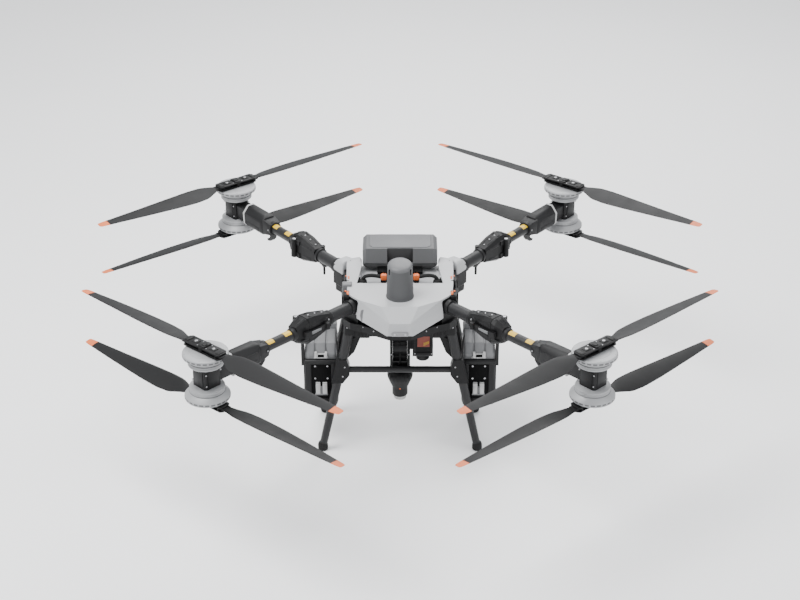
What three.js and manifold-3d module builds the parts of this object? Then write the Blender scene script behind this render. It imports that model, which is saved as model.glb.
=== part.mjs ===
// Heavy-lift multirotor drone with four folding arms, four coaxial motor pairs, two side
// batteries and a belly winch with a cargo hook.
// Millimetres, +Z up. The nose faces -Y; left and right (+X) are as seen when facing the nose.
// The origin is on the ground under the middle of the rotor square.
import * as THREE from 'three';
import { ConvexGeometry } from 'three/addons/geometries/ConvexGeometry.js';
import { mergeVertices } from 'three/addons/utils/BufferGeometryUtils.js';
import Module from 'manifold-3d';

const wasm = await Module();
wasm.setup();

// ---------------------------------------------------------------- driving dimensions
const ROTOR_PLANE = 945;            // height of the upper propellers
const ROTOR_DROP = 258;             // lower propellers below the upper ones
const PROP_RADIUS = 787.5;
const BLADE_PIVOT = 53;             // blade pivots from the rotor axis
const MOTOR_X = 826;                // rotor axes, left and right
const MOTOR_Y = 828;                // rotor axes, front and back
const ARM_Z = 812;
const INNER_TUBE_R = 29;
const OUTER_TUBE_R = 24;
const HINGE_HALF = 42;              // fold joint block, half width and half height
const HINGE_TALL = 64;
const HINGE_PIN_OFFSET = 47;        // fold pin beside the arm axis
const GAP = 0.4;                    // between pieces that rest on each other

// Fold joint, arm azimuth and blade azimuth at rest, for each corner.
// side is the side of the arm that the fold pin is on, +1 to the left of the outward direction.
const CORNERS = [
  { name: 'front_left', sx: -1, sy: -1, azimuth: 225, reach: 558, root: 300, side: -1, blade: -41 },
  { name: 'front_right', sx: 1, sy: -1, azimuth: 315, reach: 558, root: 300, side: 1, blade: 41 },
  { name: 'rear_left', sx: -1, sy: 1, azimuth: 129.5, reach: 550, root: 298, side: 1, blade: 38 },
  { name: 'rear_right', sx: 1, sy: 1, azimuth: 50.5, reach: 550, root: 298, side: -1, blade: -38 },
];

// ---------------------------------------------------------------- materials
const plastic = (color, roughness = 0.55) =>
  new THREE.MeshStandardMaterial({ color, roughness, metalness: 0.0 });
const metal = (color, roughness = 0.35) =>
  new THREE.MeshStandardMaterial({ color, roughness, metalness: 0.9 });
const SHELL_GREY = 0xc6c6c8;
const MID_GREY = 0x808184;
const TOWER_GREY = 0x67686a;
const NEAR_BLACK = 0x1c1c1e;
const CARBON = 0x38383b;
const MOTOR_GREY = 0xa9aaac;
const BLADE_DARK = 0x3a3a3d;

// ---------------------------------------------------------------- shape helpers
const v3 = (x, y, z) => new THREE.Vector3(x, y, z);
const rad = (degrees) => THREE.MathUtils.degToRad(degrees);

function solid(geometry) {
  const bare = geometry.clone();
  bare.deleteAttribute('normal');
  bare.deleteAttribute('uv');
  const merged = mergeVertices(bare, 1e-4);
  return new wasm.Manifold(new wasm.Mesh({
    numProp: 3,
    vertProperties: new Float32Array(merged.attributes.position.array),
    triVerts: new Uint32Array(merged.index.array),
  }));
}

function geometryOf(manifold) {
  const mesh = manifold.getMesh();
  const geometry = new THREE.BufferGeometry();
  geometry.setAttribute('position', new THREE.BufferAttribute(mesh.vertProperties, 3));
  geometry.setIndex(new THREE.BufferAttribute(mesh.triVerts, 1));
  geometry.computeVertexNormals();
  return geometry;
}

function join(...pieces) {
  return geometryOf(pieces.map(solid).reduce((whole, piece) => whole.add(piece)));
}

function cut(base, ...tools) {
  return geometryOf(tools.map(solid).reduce((whole, tool) => whole.subtract(tool), solid(base)));
}

// A box between two corners.
function block(x0, x1, y0, y1, z0, z1) {
  const box = new THREE.BoxGeometry(x1 - x0, y1 - y0, z1 - z0);
  return box.translate((x0 + x1) / 2, (y0 + y1) / 2, (z0 + z1) / 2);
}

// The same box given for the right side and placed on side s: -1 left, +1 right.
const sideBlock = (s, x0, x1, y0, y1, z0, z1) =>
  block(Math.min(s * x0, s * x1), Math.max(s * x0, s * x1), y0, y1, z0, z1);

// The convex body around a list of [x, y, z] corners.
const hull = (corners) => new ConvexGeometry(corners.map((corner) => v3(...corner)));

// The convex body around corners given for x > 0 and mirrored to x < 0.
const mirroredHull = (corners) => hull([...corners, ...corners.map(([x, y, z]) => [-x, y, z])]);

// A body of revolution about Z; the profile is a list of [radius, height].
const turned = (profile, sides = 20) => new THREE.LatheGeometry(
  profile.map(([r, z]) => new THREE.Vector2(r, z)), sides).rotateX(Math.PI / 2);

// A plain cylinder along Z between two heights.
const rod = (radius, z0, z1, sides = 12) => turned([[0, z0], [radius, z0], [radius, z1], [0, z1]], sides);

// A tapered rod between two points.
function strut(from, to, r0, r1, sides = 12) {
  const direction = to.clone().sub(from);
  const geometry = new THREE.CylinderGeometry(r1, r0, direction.length(), sides);
  const turn = new THREE.Quaternion().setFromUnitVectors(v3(0, 1, 0), direction.clone().normalize());
  geometry.applyQuaternion(turn);
  return geometry.translate(...from.clone().add(to).multiplyScalar(0.5).toArray());
}

// A flat plate: outline in X and Y, between two heights.
function plate(outline, z0, z1, holes = []) {
  const shape = new THREE.Shape(outline.map(([x, y]) => new THREE.Vector2(x, y)));
  for (const hole of holes) {
    shape.holes.push(new THREE.Path(hole.map(([x, y]) => new THREE.Vector2(x, y))));
  }
  const extrusion = { depth: z1 - z0, bevelEnabled: false, curveSegments: 6 };
  return new THREE.ExtrudeGeometry(shape, extrusion).translate(0, 0, z0);
}

// A box with its eight edges along X cut back: an arm housing's section, extruded along X.
function housing(x0, x1, halfWidth, z0, z1, chamfer) {
  const corners = [];
  for (const x of [x0, x1]) {
    for (const y of [-1, 1]) {
      corners.push([x, y * (halfWidth - chamfer), z0], [x, y * (halfWidth - chamfer), z1]);
      corners.push([x, y * halfWidth, z0 + chamfer], [x, y * halfWidth, z1 - chamfer]);
    }
  }
  return hull(corners);
}

// A skin through a list of closed rings with equal point counts, capped at both ends.
function loft(rings) {
  const count = rings[0].length;
  const points = rings.flat();
  const index = [];
  for (let i = 0; i + 1 < rings.length; i += 1) {
    for (let j = 0; j < count; j += 1) {
      const a = i * count + j;
      const b = i * count + ((j + 1) % count);
      index.push(a, b, a + count, b, b + count, a + count);
    }
  }
  const last = (rings.length - 1) * count;
  for (let j = 1; j + 1 < count; j += 1) {
    index.push(0, j + 1, j);
    index.push(last, last + j, last + j + 1);
  }
  const geometry = new THREE.BufferGeometry();
  geometry.setAttribute('position', new THREE.Float32BufferAttribute(points.flatMap((p) => p.toArray()), 3));
  geometry.setIndex(index);
  return geometry;
}

// The same body seen in a mirror across Y = 0 or Z = 0.
function mirrored(geometry, axis) {
  const copy = geometry.clone();
  const position = copy.attributes.position;
  for (let i = 0; i < position.count; i += 1) {
    if (axis === 'y') position.setY(i, -position.getY(i));
    if (axis === 'z') position.setZ(i, -position.getZ(i));
  }
  const index = copy.index.array;
  for (let i = 0; i < index.length; i += 3) {
    [index[i], index[i + 1]] = [index[i + 1], index[i]];
  }
  copy.computeVertexNormals();
  return copy;
}

const drone = new THREE.Group();

function addMesh(parent, name, geometry, material) {
  const mesh = new THREE.Mesh(geometry, material);
  mesh.name = name;
  parent.add(mesh);
  return mesh;
}

// ---------------------------------------------------------------- propellers
const BLADE_LENGTH = PROP_RADIUS - BLADE_PIVOT;
const TONGUE_HALF = 5.5;            // half thickness of a blade root between the clamp plates
const CLAMP_TOP = 12;
const PIN_R = 6;
// distance from the pivot, chord, share of the chord ahead of the pivot line, thickness, twist
const BLADE_STATIONS = [
  [60, 42, 0.5, 10.5, 0],
  [92, 62, 0.47, 11, 8],
  [140, 98, 0.43, 10, 12],
  [215, 106, 0.41, 9, 12],
  [340, 95, 0.4, 7.5, 10],
  [540, 66, 0.4, 5.5, 8],
  [BLADE_LENGTH, 36, 0.45, 3, 6],
];

// A blade along +X from its pivot, leading edge towards +Y.
function blade() {
  const rings = BLADE_STATIONS.map(([x, chord, ahead, thick, twist]) => {
    const t = rad(twist);
    const lead = chord * ahead;
    const trail = chord * (ahead - 1);
    const section = [[lead, 0], [lead * 0.4, thick / 2], [trail * 0.4, thick / 2], [trail, 0],
      [trail * 0.3, -thick * 0.3], [lead * 0.5, -thick * 0.3]];
    return section.map(([y, z]) =>
      v3(x, y * Math.cos(t) - z * Math.sin(t), y * Math.sin(t) + z * Math.cos(t)));
  });
  const tongue = join(rod(21, -TONGUE_HALF, TONGUE_HALF, 12),
    block(0, 66, -21, 21, -TONGUE_HALF + 0.6, TONGUE_HALF - 0.6));
  return cut(join(loft(rings), tongue), rod(PIN_R + 0.6, -20, 20, 8));
}

// The turning part of a motor with its propeller clamp; z = 0 is the middle of the blade roots.
function rotor() {
  const bell = turned([[0, -56.4], [77, -56.4], [77, -52], [99, -34], [99, -20], [95, -16], [0, -16]], 20);
  const boss = rod(20, -20, CLAMP_TOP, 12);
  const plates = [[-CLAMP_TOP, -TONGUE_HALF - GAP], [TONGUE_HALF + GAP, CLAMP_TOP]].map(([z0, z1]) => plate([
    [-111, -18], [-100, -30], [100, -30], [111, -18],
    [111, 18], [100, 30], [-100, 30], [-111, 18]], z0, z1));
  const pinProfile = [[0, -CLAMP_TOP + 2], [PIN_R, -CLAMP_TOP + 2], [PIN_R, CLAMP_TOP - 1],
    [10, CLAMP_TOP - 1], [10, CLAMP_TOP + 5], [0, CLAMP_TOP + 5]];
  const pins = [-BLADE_PIVOT, BLADE_PIVOT].map((x) => turned(pinProfile, 8).translate(x, 0, 0));
  return join(bell, boss, ...plates, ...pins);
}

const BLADE = blade();
const ROTOR = rotor();

function addPropeller(corner, level) {
  const upper = level === 'upper';
  const spin = new THREE.Group();
  const height = ROTOR_PLANE - (upper ? 0 : ROTOR_DROP);
  spin.position.set(corner.sx * MOTOR_X, corner.sy * MOTOR_Y, height);
  spin.rotation.z = rad(corner.blade);
  drone.add(spin);
  const body = upper ? ROTOR : mirrored(ROTOR, 'z');
  addMesh(spin, `${corner.name}_${level}_rotor`, body, plastic(MOTOR_GREY, 0.45));
  const clockwise = (corner.sx * corner.sy > 0) === upper;
  const shape = clockwise ? BLADE : mirrored(BLADE, 'y');
  for (const [label, x, turnZ] of [['a', BLADE_PIVOT, 0], ['b', -BLADE_PIVOT, Math.PI]]) {
    const name = `${corner.name}_${level}_blade_${label}`;
    const one = addMesh(spin, name, shape, plastic(BLADE_DARK, 0.5));
    one.position.x = x;
    one.rotation.z = turnZ;
  }
}

// ---------------------------------------------------------------- arms
const INNER_BLOCK = 140;            // length of the fold joint half on the inner tube
const OUTER_BLOCK = 62;
const KNUCKLE_R = 16;
const KNUCKLE_HALF = 22;
const MOUNT_LENGTH = 330;           // motor axis to the end of the outer tube

// A fold joint half: an eight-sided block from its tall end at x0 to its slim end at x1.
function foldBlock(x0, x1, halfWidth, tall, slimWidth, slimTall) {
  const ring = (x, y, z, c) => [[x, y, z - c], [x, y - c, z], [x, c - y, z], [x, -y, z - c],
    [x, -y, c - z], [x, c - y, -z], [x, y - c, -z], [x, y, c - z]];
  return hull([...ring(x0, halfWidth, tall, 14), ...ring((x0 * 2 + x1) / 3, halfWidth, tall - 4, 16),
    ...ring(x1, slimWidth, slimTall, 10)]);
}

// Tube along the arm between two distances from the fold joint.
const armTube = (radius, x0, x1, sides = 14) =>
  rod(radius, x0, x1, sides).rotateY(Math.PI / 2);

// Fold joint half and tube that stay with the body. The arm runs along +X, z = 0 on its axis.
function innerArm(root, side, withPeg) {
  const pinY = side * HINGE_PIN_OFFSET;
  const half = foldBlock(-GAP, -INNER_BLOCK, HINGE_HALF, HINGE_TALL, 33, 35);
  const lugs = [-1, 1].map((s) => {
    const z0 = s > 0 ? KNUCKLE_HALF + 0.5 : -KNUCKLE_HALF - 24;
    return join(rod(KNUCKLE_R, z0, z0 + 23.5, 12).translate(0, pinY, 0),
      block(-40, -GAP, Math.min(side * 20, pinY), Math.max(side * 20, pinY), z0, z0 + 23.5));
  });
  const tube = armTube(INNER_TUBE_R, -root, -INNER_BLOCK + 20);
  const pieces = [half, ...lugs, tube, armTube(INNER_TUBE_R + 5, -root, -root + 24)];
  if (withPeg) {
    pieces.push(rod(5.5, -90, -20, 8).translate(-176, 0, 0));
    pieces.push(block(-200, -152, -9, 9, -40, -26));
  }
  const swing = rod(KNUCKLE_R + 1, -KNUCKLE_HALF - 0.5, KNUCKLE_HALF + 0.5, 12).translate(0, pinY, 0);
  return cut(join(...pieces), swing);
}

// The matching half with the folding tube.
function outerArm(reach, side) {
  const pinY = side * HINGE_PIN_OFFSET;
  const half = foldBlock(GAP, OUTER_BLOCK, HINGE_HALF - 1, HINGE_TALL - 2, 29, 38);
  const link = block(GAP, 34, Math.min(20 * side, pinY), Math.max(20 * side, pinY),
    -KNUCKLE_HALF, KNUCKLE_HALF);
  const knuckle = rod(KNUCKLE_R, -KNUCKLE_HALF, KNUCKLE_HALF, 12).translate(0, pinY, 0);
  const clear = [[KNUCKLE_HALF, 90], [-90, -KNUCKLE_HALF]].map(([z0, z1]) =>
    rod(KNUCKLE_R + 1, z0, z1, 12).translate(0, pinY, 0));
  const tube = armTube(OUTER_TUBE_R, OUTER_BLOCK - 20, reach - MOUNT_LENGTH - GAP);
  return cut(join(half, link, knuckle, tube), ...clear);
}

// Controller housing, coaxial motor block, both stator rings and the storage claw.
function motorMount(reach) {
  const end = reach - MOUNT_LENGTH;
  const controller = housing(reach - 280, reach - 125, 44, -46, 52, 14);
  const neck = hull([[end, -32, -32], [end, 32, -32], [end, -32, 32], [end, 32, 32],
    [reach - 270, -42, -38], [reach - 270, 42, -38], [reach - 270, -42, 44], [reach - 270, 42, 44]]);
  const bridge = housing(reach - 130, reach - 40, 36, -36, 40, 10);
  const upperRing = turned([[0, 50], [62, 50], [77, 57], [77, 76], [0, 76]], 20);
  const lowerRing = turned([[0, -68], [77, -68], [77, -49], [62, -42], [0, -42]], 20);
  const motor = join(housing(-45, 45, 45, -47, 55, 8), upperRing, lowerRing).translate(reach, 0, 0);
  const clawOutline = [[0, 0], [40, 0], [30, -14], [25, -28], [34, -42], [50, -47], [46, -57],
    [22, -52], [6, -34]];
  const claw = plate(clawOutline, -14, 14).rotateX(Math.PI / 2).translate(end + 4, 0, -20);
  return join(controller, neck, bridge, motor, claw);
}

const LEVER_PIVOT_X = -100;

// Over-centre lever along the fold joint, on the side away from the pin.
function lockLever(side) {
  const y = HINGE_HALF + 0.5;
  const lever = join(block(LEVER_PIVOT_X - 8, 36, y, y + 9, -11, 11),
    rod(10, -16, 16, 10).translate(LEVER_PIVOT_X, y + 10.2, 0),
    block(6, 36, y, y + 17, -15, 15));
  return side > 0 ? mirrored(lever, 'y') : lever;
}

// The fold joint's origin in plan: the rotor axis stepped back along the arm.
function foldOrigin(corner) {
  const a = rad(corner.azimuth);
  const x = corner.sx * MOTOR_X - corner.reach * Math.cos(a);
  const y = corner.sy * MOTOR_Y - corner.reach * Math.sin(a);
  return v3(x, y, ARM_Z);
}

function addArm(corner) {
  const arm = new THREE.Group();
  arm.position.copy(foldOrigin(corner));
  arm.rotation.z = rad(corner.azimuth);
  drone.add(arm);
  const inner = innerArm(corner.root, corner.side, corner.sy > 0);
  addMesh(arm, `${corner.name}_inner_arm`, inner, plastic(CARBON, 0.4));
  addMesh(arm, `${corner.name}_outer_arm`, outerArm(corner.reach, corner.side), plastic(CARBON, 0.4));
  addMesh(arm, `${corner.name}_motor_mount`, motorMount(corner.reach), plastic(NEAR_BLACK, 0.5));
  addMesh(arm, `${corner.name}_lock_lever`, lockLever(corner.side), plastic(NEAR_BLACK, 0.5));
  addPropeller(corner, 'upper');
  addPropeller(corner, 'lower');
}

CORNERS.forEach(addArm);

// ---------------------------------------------------------------- body
const FRAME_BOTTOM = 700;
const FRAME_TOP = 735;
const SHELL_BOTTOM = FRAME_TOP + GAP;
const DECK_TOP = 838;

// A mirrored outline of a plate; the corners are given for x > 0 from front to back.
const bothSides = (half) => [...half, ...[...half].reverse().map(([x, y]) => [-x, y])];

// A housing round an arm's axis; x counts outwards from the arm's root.
function atRoot(corner, x0, x1, halfWidth, z0, z1, chamfer) {
  const a = rad(corner.azimuth);
  const origin = foldOrigin(corner);
  return housing(x0, x1, halfWidth, z0, z1, chamfer).rotateZ(a).translate(
    origin.x - corner.root * Math.cos(a), origin.y - corner.root * Math.sin(a), ARM_Z);
}

// Main plate with the arm root sockets, side plates and the electronics bay under the cover.
function centerFrame() {
  const outline = bothSides([[52, -338], [176, -262], [228, -240], [262, -196], [262, 96], [306, 152],
    [292, 190], [240, 206]]);
  const window = (y0, y1) => [[-110, y0], [-110, y1], [110, y1], [110, y0]];
  const main = plate(outline, FRAME_BOTTOM, FRAME_TOP, [window(-254, -150), window(114, 180)]);
  const sides = [-1, 1].map((s) => sideBlock(s, 250, 262, -150, 96, FRAME_TOP - 1, 834));
  const bay = block(-218, 218, -130, 100, FRAME_TOP - 1, 795);
  const regulator = block(-124, -56, -80, 20, 628, FRAME_BOTTOM + 1);
  const sockets = CORNERS.map((corner) => atRoot(corner, -66, -GAP, 38, -80, 38, 8));
  return join(main, bay, regulator, ...sides, ...sockets);
}

// Faceted top cover: hood over the nose, raised rear corners and the deck between them.
function topShell() {
  const hood = mirroredHull([[83, -313, 860], [186, -250, 860], [239, -190, 860], [245, -85, 860],
    [47, -372, 804], [192, -262, 800], [60, -362, SHELL_BOTTOM], [195, -262, 770], [243, -190, 800],
    [246, -85, 800]]);
  const corner = [[200, -90, 800], [246, -90, 800], [245, -90, 860], [200, -90, 860], [190, 20, 872],
    [249, 10, 868], [249, 60, 885], [246, 122, 880], [190, 130, 885], [179, 60, 880], [180, 118, 876],
    [249, 122, 800], [179, 130, 800], [190, -20, 800]];
  const corners = [hull(corner), hull(corner.map(([x, y, z]) => [-x, y, z]))];
  const deck = block(-200, 200, -92, 132, 800, DECK_TOP);
  const hoodSpace = mirroredHull([[80, -300, 851], [182, -240, 851], [231, -184, 851], [237, -70, 851],
    [42, -358, 800], [54, -350, SHELL_BOTTOM - 2], [186, -252, 762], [235, -184, 792], [237, -70, 762],
    [186, -70, 720]]);
  const deckSpace = block(-192, 192, -100, 122, 780, 829);
  const cornerSpaces = [-1, 1].map((s) => sideBlock(s, 186, 238, -100, 112, 780, 852));
  const rootSpaces = CORNERS.map((one) => atRoot(one, -90, 40, 41, -90, 41, 8));
  return cut(join(hood, ...corners, deck), hoodSpace, deckSpace, ...cornerSpaces, ...rootSpaces);
}

const TOWER_Y = -210;

// Round sensor tower on the hood: tapered, with a top that leans to the front.
function antennaTower() {
  const tower = turned([[0, 860 + GAP], [62, 860 + GAP], [62, 868], [56, 1015], [49, 1035], [0, 1035]], 28);
  const slant = block(-80, 80, -90, 90, 0, 60).rotateX(rad(7)).translate(0, 0, 1028);
  return cut(tower, slant).translate(0, TOWER_Y, 0);
}

// Recovery parachute case: a wide box with cut corners, a front notch and two finned feet.
function parachuteCase() {
  const body = mirroredHull([[158, 78, 955], [158, 238, 950], [175, 92, 940], [175, 232, 936],
    [175, 66, 880], [160, 58, 890], [160, 60, 868], [175, 84, 868], [175, 250, 880], [158, 255, 900],
    [146, 78, 850], [146, 240, 850]]);
  const feet = [-1, 1].map((s) => sideBlock(s, 60, 105, 18, 120, DECK_TOP + GAP, 866));
  return cut(join(body, ...feet), block(-60, 60, 40, 84, 882, 970));
}

addMesh(drone, 'center_frame', centerFrame(), plastic(NEAR_BLACK, 0.55));
addMesh(drone, 'top_shell', topShell(), plastic(SHELL_GREY, 0.5));
addMesh(drone, 'antenna_tower', antennaTower(), plastic(TOWER_GREY, 0.5));
addMesh(drone, 'parachute_case', parachuteCase(), plastic(MID_GREY, 0.55));

// ---------------------------------------------------------------- power cables
const CABLE_R = 9;

// Battery lead: gland post on the deck, arched cable and plug on its stand beside the tower.
function powerCable(s) {
  const y = -50;
  const route = [[172, 850], [171, 866], [158, 878], [132, 882], [108, 878], [84, 874]];
  const curve = new THREE.CatmullRomCurve3(route.map(([x, z]) => v3(s * x, y, z)));
  const section = new THREE.Shape();
  section.absarc(0, 0, CABLE_R, 0, Math.PI * 2);
  const sweep = { steps: 10, extrudePath: curve, curveSegments: 5, bevelEnabled: false };
  const cable = new THREE.ExtrudeGeometry(section, sweep);
  const plug = sideBlock(s, 62, 90, y - 13, y + 13, 861, 887);
  const stand = sideBlock(s, 64, 86, y - 8, y + 22, DECK_TOP + GAP, 862);
  const glandProfile = [[0, DECK_TOP + GAP], [21, DECK_TOP + GAP], [19, 856], [14, 861], [0, 861]];
  const gland = turned(glandProfile, 18).translate(s * 172, y, 0);
  return join(cable, plug, stand, gland);
}

addMesh(drone, 'left_power_cable', powerCable(-1), plastic(NEAR_BLACK, 0.6));
addMesh(drone, 'right_power_cable', powerCable(1), plastic(NEAR_BLACK, 0.6));

// ---------------------------------------------------------------- landing gear
const LEG_TOP_X = 226;
const FOOT_X = 373;
const LEG_R = [23, 17.5];           // at the top and at the foot
const FRONT_LEG_Y = -165;
const REAR_LEG_Y = 180;
const BAR_Z = 445;

const legLine = (s, y, z) => v3(s * (FOOT_X - (FOOT_X - LEG_TOP_X) * z / FRAME_BOTTOM), y, z);

// Splayed tube leg with a flat head under the main plate and a rubber shoe.
function leg(s, y) {
  const tube = strut(legLine(s, y, FRAME_BOTTOM - 30), legLine(s, y, 16), ...LEG_R, 12);
  const head = block(s * LEG_TOP_X - 27, s * LEG_TOP_X + 27, y - 27, y + 27,
    FRAME_BOTTOM - 58, FRAME_BOTTOM - GAP);
  const shoeProfile = [[0, 0], [18, 0], [23, 7], [23, 34], [0, 34]];
  const shoe = turned(shoeProfile, 16).translate(s * FOOT_X - s * 4, y, 0);
  return join(tube, head, shoe);
}

// Cross tube between the front legs, with a gusset clamp round each leg.
function crossBar() {
  const bar = strut(v3(-252, FRONT_LEG_Y, BAR_Z), v3(252, FRONT_LEG_Y, BAR_Z), 15, 15, 16);
  const outline = [[236, 427], [236, 463], [248, 508], [296, 508], [322, 382], [268, 382]];
  const clamp = (s) => {
    const top = legLine(s, FRONT_LEG_Y, FRAME_BOTTOM - 30);
    const foot = legLine(s, FRONT_LEG_Y, 16);
    const bore = strut(top, foot, LEG_R[0] + 0.5, LEG_R[1] + 0.5, 16);
    const corners = outline.flatMap(([x, z]) =>
      [[s * x, FRONT_LEG_Y - 25, z], [s * x, FRONT_LEG_Y + 25, z]]);
    return cut(hull(corners), bore);
  };
  return join(bar, clamp(-1), clamp(1));
}

for (const [label, s] of [['left', -1], ['right', 1]]) {
  addMesh(drone, `front_${label}_leg`, leg(s, FRONT_LEG_Y), plastic(NEAR_BLACK, 0.5));
  addMesh(drone, `rear_${label}_leg`, leg(s, REAR_LEG_Y), plastic(NEAR_BLACK, 0.5));
}
addMesh(drone, 'front_crossbar', crossBar(), plastic(NEAR_BLACK, 0.5));

// ---------------------------------------------------------------- batteries
const TRAY = { x0: 290, x1: 452, y0: -125, y1: 110, z0: 223, z1: 475 };
const TRAY_WALL = 7;
const LATCH_X = 371;

// Open-topped battery tray with an outboard guard bar and a hanger up to the main plate.
function batteryTray(s) {
  const edge = (z, inset) => [
    [TRAY.x0 + inset, TRAY.y0 + 10, z], [TRAY.x0 + 10, TRAY.y0 + inset, z],
    [TRAY.x1 - 10, TRAY.y0 + inset, z], [TRAY.x1 - inset, TRAY.y0 + 10, z],
    [TRAY.x1 - inset, TRAY.y1 - 10, z], [TRAY.x1 - 10, TRAY.y1 - inset, z],
    [TRAY.x0 + 10, TRAY.y1 - inset, z], [TRAY.x0 + inset, TRAY.y1 - 10, z]];
  const rings = [...edge(TRAY.z1, 0), ...edge(TRAY.z0 + 26, 2), ...edge(TRAY.z0, 9)];
  const outer = hull(rings.map(([x, y, z]) => [s * x, y, z]));
  const inside = sideBlock(s, TRAY.x0 + TRAY_WALL, TRAY.x1 - TRAY_WALL,
    TRAY.y0 + TRAY_WALL, TRAY.y1 - TRAY_WALL, TRAY.z0 + 11, TRAY.z1 + 5);
  const guards = [[TRAY.y0 + 4, TRAY.y0 + 24], [TRAY.y1 - 24, TRAY.y1 - 4]].map(([y0, y1]) =>
    sideBlock(s, TRAY.x1 - 4, TRAY.x1 + 12, y0, y1, 440, 596));
  const rail = sideBlock(s, TRAY.x1 - 2, TRAY.x1 + 12, TRAY.y0 + 4, TRAY.y1 - 4, 582, 596);
  const hangerOutline = [[230, FRAME_BOTTOM - GAP], [262, FRAME_BOTTOM - GAP], [262, 640],
    [TRAY.x0 + 3, 470], [TRAY.x0 + 3, 380], [TRAY.x0 - 20, 420], [246, 560]];
  const hanger = hull(hangerOutline.flatMap(([x, z]) => [[s * x, -30, z], [s * x, 40, z]]));
  return join(cut(outer, inside), ...guards, rail, hanger);
}

// Battery pack: deep block in the tray, sloping cap and a raised back.
function battery(s) {
  const x0 = TRAY.x0 + TRAY_WALL + 1;
  const x1 = TRAY.x1 - TRAY_WALL - 1;
  const core = sideBlock(s, x0, x1, TRAY.y0 + TRAY_WALL + 1, TRAY.y1 - TRAY_WALL - 1,
    TRAY.z0 + 11.5, 480);
  const onSide = (corners) => hull(corners.map(([x, y, z]) => [s * x, y, z]));
  const cap = onSide([[x0, -116, 478], [x1, -116, 478], [x0, -116, 500], [x1, -116, 500],
    [x0 + 4, -96, 548], [x1 - 4, -96, 548], [x0 + 6, 40, 566], [x1 - 6, 40, 566],
    [x0, 101, 478], [x1, 101, 478], [x0 + 6, 96, 560], [x1 - 6, 96, 560]]);
  const back = onSide([[x0 + 2, 4, 540], [x1 - 46, 4, 540], [x0 + 6, 14, 590], [x1 - 52, 14, 590],
    [x0 + 2, 98, 540], [x1 - 46, 98, 540], [x0 + 6, 94, 590], [x1 - 52, 94, 590]]);
  return join(core, cap, back);
}

// Two-finger release lever on the front of a tray, hinged at its lower edge.
function batteryLatch(s) {
  const finger = (x) => block(s * LATCH_X + x - 11, s * LATCH_X + x + 11, -136, -125.5, 290, 352);
  const barrel = strut(v3(s * LATCH_X - 30, -131, 288), v3(s * LATCH_X + 30, -131, 288), 5, 5, 12);
  const web = block(s * LATCH_X - 22, s * LATCH_X + 22, -132, -126, 292, 330);
  return join(finger(-16), finger(16), web, barrel);
}

for (const [label, s] of [['left', -1], ['right', 1]]) {
  addMesh(drone, `${label}_battery_tray`, batteryTray(s), plastic(NEAR_BLACK, 0.5));
  addMesh(drone, `${label}_battery`, battery(s), plastic(MOTOR_GREY, 0.5));
  addMesh(drone, `${label}_battery_latch`, batteryLatch(s), plastic(MOTOR_GREY, 0.45));
}

// ---------------------------------------------------------------- winch and hook
const DRUM_Y = -34;
const DRUM_Z = 600;
const DRUM_R = 29.5;
const GUIDE_Z = 365;
const ROPE_R = 4;

// Hanging frame: two cheeks, plates above and below the drum, and the gear box on the right.
function winchFrame() {
  const outline = [[-75, FRAME_BOTTOM - GAP], [-75, 580], [-40, 550], [50, FRAME_BOTTOM - GAP], [40, 550]];
  const cheek = (x0) => {
    const axle = rod(9, x0 - 5, x0 + 15, 16).rotateY(Math.PI / 2).translate(0, DRUM_Y, DRUM_Z);
    return cut(hull(outline.flatMap(([y, z]) => [[x0, y, z], [x0 + 10, y, z]])), axle);
  };
  const lower = (x0) => block(x0, x0 + 10, -40, 40, GUIDE_Z, 552);
  const top = cut(block(-45, 45, -75, 50, 688, FRAME_BOTTOM - GAP), rod(9, 680, 710, 16));
  const guide = cut(block(-45, 45, -40, 40, GUIDE_Z, GUIDE_Z + 12), rod(9, 350, 390, 16));
  const gearBox = housing(0, 96, 50, 448, FRAME_BOTTOM - GAP, 10).translate(60, -10, 0);
  const gearNeck = block(40, 66, -38, 38, 480, 540);
  return join(cheek(-45), cheek(35), lower(-45), lower(35), top, guide, gearNeck, gearBox);
}

// Rope drum on an axle that turns in the cheeks.
function winchDrum() {
  const drum = turned([[0, -44], [8, -44], [8, -34], [34, -34], [34, -30], [DRUM_R, -30],
    [DRUM_R, 30], [34, 30], [34, 34], [8, 34], [8, 44], [0, 44]], 20);
  return drum.rotateY(Math.PI / 2).translate(0, DRUM_Y, DRUM_Z);
}

// Weighted hook: ribbed cap, cone and swivel tip, with the straight run of its rope.
function cargoHook() {
  const bob = turned([[0, 190], [27, 190], [37, 215], [37, 255], [62, 315], [62, 335], [40, 350], [20, 352],
    [20, GUIDE_Z - GAP], [0, GUIDE_Z - GAP]], 28);
  return join(bob, rod(ROPE_R, 355, 686, 10));
}

addMesh(drone, 'winch_frame', winchFrame(), plastic(NEAR_BLACK, 0.55));
addMesh(drone, 'winch_drum', winchDrum(), metal(0x6a6b6e, 0.4));
addMesh(drone, 'cargo_hook', cargoHook(), plastic(NEAR_BLACK, 0.5));

export default drone;
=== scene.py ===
import math

import bmesh
import bpy
from mathutils import Matrix, Vector


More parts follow.
